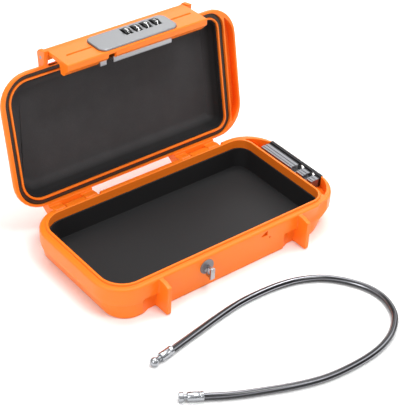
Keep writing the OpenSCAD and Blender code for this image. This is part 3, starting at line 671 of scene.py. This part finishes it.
def widen_grooves(piece):
    """Opens the two long grooves of the flap's face to the width and depth that they show"""
    bottoms = []
    for face in piece.data.polygons:
        places = [piece.data.vertices[i].co for i in face.vertices]
        length, width = span(places, ACROSS), span(places, FLAP_UP)
        if face.normal.dot(FLAP_OUT) > 0.99 and length > GROOVE_LENGTH and width < GROOVE_WIDTH:
            bottoms.append((face.center.copy(), face.normal.copy(), length))
    for middle, normal, length in bottoms:
        # With the lid open the flap's face lies nearly flat, so that Y runs across its grooves
        def in_groove(vertex):
            arm = vertex.co - middle
            return (
                abs(arm.x) < length / 2 + NEAR and abs(arm.y) < GROOVE_WIDTH / 2
                and abs(arm.dot(normal)) < GROOVE_REACH
            )

        bpy.ops.object.mode_set(mode="EDIT")
        choose(piece, "VERT", in_groove)
        bpy.ops.transform.resize(value=(1, GROOVE_WIDER, 1), center_override=middle)
        choose(piece, "FACE", lambda face: (face.calc_center_median() - middle).length < NEAR)
        bpy.ops.transform.translate(value=-GROOVE_DEEPER * normal)
        bpy.ops.object.mode_set(mode="OBJECT")


def turned(name, start, along, steps, sides=48):
    """A turned piece: a disc drawn out along its axis, one length and radius after another"""
    radius = steps[0][1]
    deselect()
    bpy.ops.mesh.primitive_circle_add(
        vertices=sides, radius=radius, fill_type="NGON", location=start
    )
    piece = bpy.context.object
    piece.name = name
    piece.rotation_mode = "QUATERNION"
    piece.rotation_quaternion = along.to_track_quat("Z", "Y")
    bpy.ops.object.transform_apply(location=True, rotation=True, scale=True)
    bpy.ops.object.mode_set(mode="EDIT")
    bpy.ops.mesh.select_all(action="SELECT")
    place = start.copy()
    for length, next_radius in steps[1:]:
        place += along * length
        bpy.ops.mesh.extrude_region_move(TRANSFORM_OT_translate={"value": along * length})
        bpy.ops.transform.resize(value=(next_radius / radius,) * 3, center_override=place)
        radius = next_radius
    bpy.ops.mesh.select_all(action="SELECT")
    bpy.ops.mesh.remove_doubles(threshold=WELD)
    bpy.ops.mesh.normals_make_consistent(inside=False)
    bpy.ops.object.mode_set(mode="OBJECT")
    bpy.ops.object.shade_smooth_by_angle(angle=SMOOTH)
    return piece


def smooth_route(points, steps=8):
    """Points of the smooth curve through the given ones, as the construction model draws it"""
    def at(i):
        return points[max(0, min(len(points) - 1, i))]

    route = []
    for i in range(len(points) - 1):
        a, b, c, d = (at(i + k) for k in (-1, 0, 1, 2))
        for s in range(steps):
            t = s / steps
            route.append(0.5 * (
                2 * b + (c - a) * t + (2 * a - 5 * b + 4 * c - d) * t * t
                + (3 * b - a - 3 * c + d) * t ** 3
            ))
    return route + [points[-1]]


def cable_tube(route, radius, sides=24):
    """A tube along the route, and its length. Its UV map is once round across, and metres along."""
    shape = bmesh.new()
    along = shape.loops.layers.uv.new("Along")
    rings, travelled = [], [0.0]
    for i, place in enumerate(route):
        ahead = (route[min(i + 1, len(route) - 1)] - route[max(i - 1, 0)]).normalized()
        side = Vector((-ahead.y, ahead.x, 0))
        rings.append([
            shape.verts.new(place + radius * (math.cos(a) * side + math.sin(a) * UPRIGHT))
            for a in (math.tau * k / sides for k in range(sides))
        ])
        if i:
            travelled.append(travelled[-1] + (place - route[i - 1]).length)
    for i in range(len(rings) - 1):
        for k in range(sides):
            corners = ((i, k), (i + 1, k), (i + 1, k + 1), (i, k + 1))
            face = shape.faces.new([rings[ring][turn % sides] for ring, turn in corners])
            for loop, (ring, turn) in zip(face.loops, corners):
                loop[along].uv = (turn / sides, travelled[ring])
    shape.faces.new(rings[0])
    shape.faces.new(rings[-1][::-1])
    bmesh.ops.recalc_face_normals(shape, faces=shape.faces)
    mesh = bpy.data.meshes.new("security_cable")
    shape.to_mesh(mesh)
    shape.free()
    piece = bpy.data.objects.new("coated_cable", mesh)
    bpy.context.collection.objects.link(piece)
    pick(piece)
    bpy.ops.object.shade_smooth_by_angle(angle=SMOOTH)
    return piece, travelled[-1]


class SAFE_OT_stage(bpy.types.Operator):
    """Camera at the photograph's angle, white floor and soft studio lamps"""

    bl_idname = "safe.stage"
    bl_label = "Stage"

    def execute(self, context):
        deselect()
        self.add_camera(context)
        bpy.ops.mesh.primitive_plane_add(size=FLOOR_SIZE)
        floor = context.object
        floor.name = "studio_floor"
        floor.data.materials.append(paper_floor())
        self.add_lamps(context)
        self.add_room(context)
        context.scene.view_settings.view_transform = "Standard"
        return {"FINISHED"}

    def add_camera(self, context):
        """The camera, where the photograph was taken from"""
        bpy.ops.object.camera_add(location=CAMERA_PLACE)
        camera = context.object
        camera.name = "Camera"
        heading, tilt, roll = (math.radians(angle) for angle in CAMERA_TURN)
        camera.matrix_world = (
            Matrix.Translation(camera.location) @ Matrix.Rotation(heading, 4, "Z")
            @ Matrix.Rotation(tilt, 4, "X") @ Matrix.Rotation(roll, 4, "Z")
        )
        camera.data.sensor_fit = "HORIZONTAL"
        camera.data.sensor_width = CAMERA_SENSOR
        camera.data.lens = CAMERA_LENS
        camera.data.clip_start = 0.01
        camera.data.clip_end = 50
        context.scene.camera = camera

    def add_lamps(self, context):
        """The soft lamps, each turned to its aim"""
        for name, place, aim, width, height, power in LAMPS:
            bpy.ops.object.light_add(type="AREA", location=place)
            lamp = context.object
            lamp.name = name
            lamp.data.shape = "RECTANGLE"
            lamp.data.size = width
            lamp.data.size_y = height
            lamp.data.energy = power
            lamp.rotation_euler = (Vector(aim) - Vector(place)).to_track_quat("-Z", "Y").to_euler()

    def add_room(self, context):
        """A room that is white to the camera, and lights the object with less than half of that"""
        world = bpy.data.worlds.new("studio")
        context.scene.world = world
        world.use_nodes = True
        tree = world.node_tree
        tree.nodes.clear()
        ray = add(tree, "ShaderNodeLightPath").outputs
        # Reflections see a room that is darker lower down, so that metal has light and dark bands
        around = add(tree, "ShaderNodeTexCoord").outputs["Generated"]
        height = add(tree, "ShaderNodeSeparateXYZ", {0: around}).outputs["Z"]
        mirrored = add(tree, "ShaderNodeMapRange", {
            "Value": height, "To Min": 0.15, "To Max": 1.2,
        }).outputs[0]
        seen = add(tree, "ShaderNodeMath", {
            0: ray["Is Camera Ray"], 1: ray["Is Transmission Ray"],
        }, operation="MAXIMUM").outputs[0]
        plain = add(tree, "ShaderNodeMapRange", {
            "Value": seen, "To Min": 0.45, "To Max": 1.0,
        }).outputs[0]
        level = add(tree, "ShaderNodeMix", {
            "Factor": ray["Is Glossy Ray"], "A": plain, "B": mirrored,
        }).outputs[0]
        sky = add(tree, "ShaderNodeBackground", {"Color": linear("#FFFFFF"), "Strength": level})
        add(tree, "ShaderNodeOutputWorld", {"Surface": sky.outputs[0]})


class SAFE_OT_cable(bpy.types.Operator):
    """The loose security cable with a crimped ferrule and a head on each end"""

    bl_idname = "safe.cable"
    bl_label = "Security cable"

    def execute(self, context):
        width = context.scene.safe_sizes.cable_width
        route = smooth_route([Vector((x * MM, y * MM, width / 2)) for x, y in CABLE_ROUTE])
        cable, length = cable_tube(route, width / 2)
        give(cable, jacketed_cable(), "base")
        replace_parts(cable, "security_cable")

        steel = turned_steel()
        for end, inner, letter, head, head_steps in (
            (route[0], route[1], "a", "ball_head", self.ball_steps()),
            (route[-1], route[-2], "b", "flat_head", FLAT_HEAD),
        ):
            away = (end - inner).normalized()
            start = Vector((end.x, end.y, FITTING_HEIGHT)) - away * SLEEVE_LAP * MM
            seat = start + away * HEAD_START * MM
            for name, place, steps in (
                ("ferrule_" + letter, start, SLEEVE), (head, seat, head_steps)
            ):
                piece = turned(name, place, away, [(l * MM, r * MM) for l, r in steps])
                give(piece, steel, "base")
                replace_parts(piece, "cable_" + name)
        return {"FINISHED"}

    def ball_steps(self):
        """Round head on a short neck"""
        first = math.asin(NECK_RADIUS / BALL_RADIUS)
        angles = [
            first + (math.pi - BALL_TIP - first) * i / BALL_RINGS for i in range(BALL_RINGS + 1)
        ]
        return list(BALL_NECK) + [
            (BALL_RADIUS * (math.cos(a) - math.cos(b)), BALL_RADIUS * math.sin(b))
            for a, b in zip(angles, angles[1:])
        ]


class SAFE_OT_base(bpy.types.Operator):
    """The moulded base, its liner, the hinge pins and the striker"""

    bl_idname = "safe.base"
    bl_label = "Base"

    def execute(self, context):
        sizes = context.scene.safe_sizes
        tub = dress(
            "base_tub", "moulded_base", abs_shell(), "orange_abs", sizes.mould_edge,
            shaped=deepen_marks
        )
        enlarge_marks(tub)
        dress("base_liner", "base_lining", pp_liner(), "black_liner", sizes.liner_edge)
        steel, bright = plain_steel(), turned_steel()
        coat(steel, "hinge_pin_left", "hinge_pin_right", "striker_nut")
        dress("striker", "striker_hook", bright, "steel", sizes.metal_edge)
        dress(
            "striker_flange", "striker_washer", bead_blasted_casting(), "zinc_casting",
            sizes.metal_edge
        )
        return {"FINISHED"}


class SAFE_OT_anchor(bpy.types.Operator):
    """The cable anchor in its bay and the screws that hold it"""

    bl_idname = "safe.anchor"
    bl_label = "Cable anchor"

    def execute(self, context):
        edge = context.scene.safe_sizes.metal_edge
        dress("cable_anchor", "anchor_casting", anchor_casting(), "zinc_casting", edge)
        coat(plain_steel(), "anchor_screws")
        return {"FINISHED"}


class SAFE_OT_lid(bpy.types.Operator):
    """The moulded lid, its gasket and its soft lining"""

    bl_idname = "safe.lid"
    bl_label = "Lid"

    def execute(self, context):
        sizes = context.scene.safe_sizes
        dress("lid_shell", "moulded_lid", abs_shell(), "orange_abs", sizes.mould_edge)
        dress(
            "lid_gasket", "rubber_gasket", rubber_gasket(), "gasket_rubber", sizes.gasket_edge,
            segments=4
        )
        # The lining's floor, from which the painted shade rises up the walls
        forward = [f for f in frame["nodes"]["lid_liner"].data.polygons if f.normal.y < 0]
        floor = max(forward, key=lambda face: face.area)
        flock = flocked_lining(floor.normal, floor.normal.dot(floor.center))
        dress("lid_liner", "lid_lining", flock, "grey_lining", sizes.lining_round, sizes.liner_edge)
        return {"FINISHED"}


class SAFE_OT_flap(bpy.types.Operator):
    """The latch flap with the lock's plate, case and inner pieces"""

    bl_idname = "safe.flap"
    bl_label = "Latch flap"

    def execute(self, context):
        sizes = context.scene.safe_sizes
        dress(
            "latch_flap", "moulded_flap", abs_shell(), "orange_abs", sizes.mould_edge,
            shaped=widen_grooves
        )
        dress("lock_face_plate", "face_plate", satin_plate(), "lock_silver", sizes.metal_edge)
        casting = lock_casting()
        dress("lock_case", "lock_casting", casting, "zinc_casting", sizes.metal_edge)
        coat(casting, "dial_sleeve_1", "dial_sleeve_2", "dial_sleeve_3", "dial_sleeve_4")
        coat(
            plain_steel(), "flap_pin", "lock_backplate", "lock_screws", "dial_axle",
            "detent_spring", "lock_bolt"
        )
        return {"FINISHED"}


class SAFE_OT_wheels(bpy.types.Operator):
    """The four number wheels, each with its ten printed numbers"""

    bl_idname = "safe.wheels"
    bl_label = "Number wheels"

    shown: StringProperty(
        name="Numbers shown", description="Number that faces out on each wheel", default="5904"
    )

    def execute(self, context):
        low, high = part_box("dial_1")
        middle, radius = (low + high) / 2, (high.z - low.z) / 2
        wheel = self.wheel(context, middle, radius, high.x - low.x)
        numbers = self.numbers(context, middle, radius)
        plastic, ink = acetal_wheel(), pad_printed_ink()
        for i, number in enumerate(self.shown, 1):
            node = f"dial_{i}"
            low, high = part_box(node)
            turn = Matrix.Rotation(math.tau * int(number) / NUMBERS, 4, "X")
            place = Matrix.Translation((low + high) / 2) @ turn @ Matrix.Translation(-middle)
            for source, name, material in (
                (wheel, f"number_wheel_{i}", plastic), (numbers, f"wheel_numbers_{i}", ink)
            ):
                piece = source.copy()
                piece.data = source.data.copy()
                piece.name = name
                context.collection.objects.link(piece)
                piece.data.transform(place)
                give(piece, material, frame["nodes"][node]["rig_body"])
                if source is wheel:
                    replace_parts(piece, node)
        for source in (wheel, numbers):
            bpy.data.objects.remove(source)
        return {"FINISHED"}

    def wheel(self, context, middle, radius, width):
        """Wheel with ten grip notches, recessed sides and a bore"""
        sizes = context.scene.safe_sizes
        pitch = 360 / NUMBERS

        def in_notch(vertex):
            arm = vertex.co - middle
            turn = math.degrees(math.atan2(arm.dot(FLAP_UP), arm.dot(FLAP_OUT)))
            return abs(turn % pitch - pitch / 2) < NOTCH_HALF

        deselect()
        bpy.ops.mesh.primitive_cylinder_add(
            vertices=WHEEL_SIDES, radius=radius, depth=width, end_fill_type="NGON",
            location=middle, rotation=(0, math.pi / 2, 0)
        )
        piece = context.object
        bpy.ops.object.transform_apply(location=True, rotation=True, scale=True)
        bpy.ops.object.mode_set(mode="EDIT")
        choose(piece, "VERT", in_notch)
        shrink = 1 - sizes.wheel_notch / radius
        bpy.ops.transform.resize(value=(1, shrink, shrink), center_override=middle)
        choose(piece, "FACE", lambda face: abs(face.normal.x) > 0.9)
        bpy.ops.mesh.inset(thickness=sizes.wheel_rim, depth=-WHEEL_RECESS, use_individual=True)
        bpy.ops.mesh.inset(thickness=WHEEL_STEP, use_individual=True)
        bore = WHEEL_BORE / (radius - sizes.wheel_rim - WHEEL_STEP)
        bpy.ops.transform.resize(value=(1, bore, bore), center_override=middle)
        bpy.ops.mesh.bridge_edge_loops()
        bpy.ops.mesh.select_all(action="SELECT")
        bpy.ops.mesh.normals_make_consistent(inside=False)
        bpy.ops.object.mode_set(mode="OBJECT")
        round_edges(piece, WHEEL_EDGE, segments=2)
        return piece

    def numbers(self, context, middle, radius):
        """The numbers 0 to 9 laid round the wheel, 0 facing out"""
        digits = [self.digit(context, middle, radius, number) for number in range(NUMBERS)]
        deselect()
        for digit in digits:
            digit.select_set(True)
        context.view_layer.objects.active = digits[0]
        bpy.ops.object.join()
        return context.object

    def digit(self, context, middle, radius, number):
        """One number, cut in rows and bent round the wheel"""
        sizes = context.scene.safe_sizes
        deselect()
        bpy.ops.object.text_add(location=(0, 0, 0))
        text = context.object
        text.data.body = str(number)
        text.data.size = sizes.number_height * FONT_TO_DIGIT
        text.data.offset = sizes.number_weight
        text.data.align_x = "CENTER"
        text.data.align_y = "CENTER"
        bpy.ops.object.convert(target="MESH")
        piece = context.object
        bpy.ops.object.mode_set(mode="EDIT")
        for row in range(-INK_ROWS, INK_ROWS + 1):
            bpy.ops.mesh.select_all(action="SELECT")
            bpy.ops.mesh.bisect(plane_co=(0, row * INK_ROW, 0), plane_no=(0, 1, 0))
        bpy.ops.object.mode_set(mode="OBJECT")
        for vertex in piece.data.vertices:
            turn = vertex.co.y / radius - math.tau * number / NUMBERS
            arm = (radius + INK_OVER) * (math.cos(turn) * FLAP_OUT + math.sin(turn) * FLAP_UP)
            vertex.co = middle + ACROSS * vertex.co.x + arm
        apply_modifier(piece, "SOLIDIFY", thickness=INK_DEPTH, offset=-1)
        return piece


class SAFE_PT_sidebar(bpy.types.Panel):
    """Sizes, colours and pieces of the safe"""

    bl_idname = "SAFE_PT_sidebar"
    bl_label = "Portable safe"
    bl_space_type = "VIEW_3D"
    bl_region_type = "UI"
    bl_category = "Safe"

    def draw(self, context):
        for group in (context.scene.safe_sizes, context.scene.safe_colours):
            for name in group.__annotations__:
                self.layout.prop(group, name)
        for operator in OPERATORS:
            self.layout.operator(operator.bl_idname)


OPERATORS = (
    SAFE_OT_stage, SAFE_OT_cable, SAFE_OT_base, SAFE_OT_anchor, SAFE_OT_lid, SAFE_OT_flap,
    SAFE_OT_wheels,
)
CLASSES = (SafeSizes, SafeColours) + OPERATORS + (SAFE_PT_sidebar,)


def register():
    for kind in CLASSES:
        bpy.utils.register_class(kind)
    bpy.types.Scene.safe_sizes = PointerProperty(type=SafeSizes)
    bpy.types.Scene.safe_colours = PointerProperty(type=SafeColours)


def unregister():
    del bpy.types.Scene.safe_colours
    del bpy.types.Scene.safe_sizes
    for kind in reversed(CLASSES):
        bpy.utils.unregister_class(kind)


def main():
    register()
    bpy.ops.safe.stage()
    bpy.ops.safe.cable()
    bpy.ops.safe.base()
    bpy.ops.safe.anchor()
    bpy.ops.safe.lid()
    bpy.ops.safe.flap()
    bpy.ops.safe.wheels()


if __name__ == "__main__":
    main()
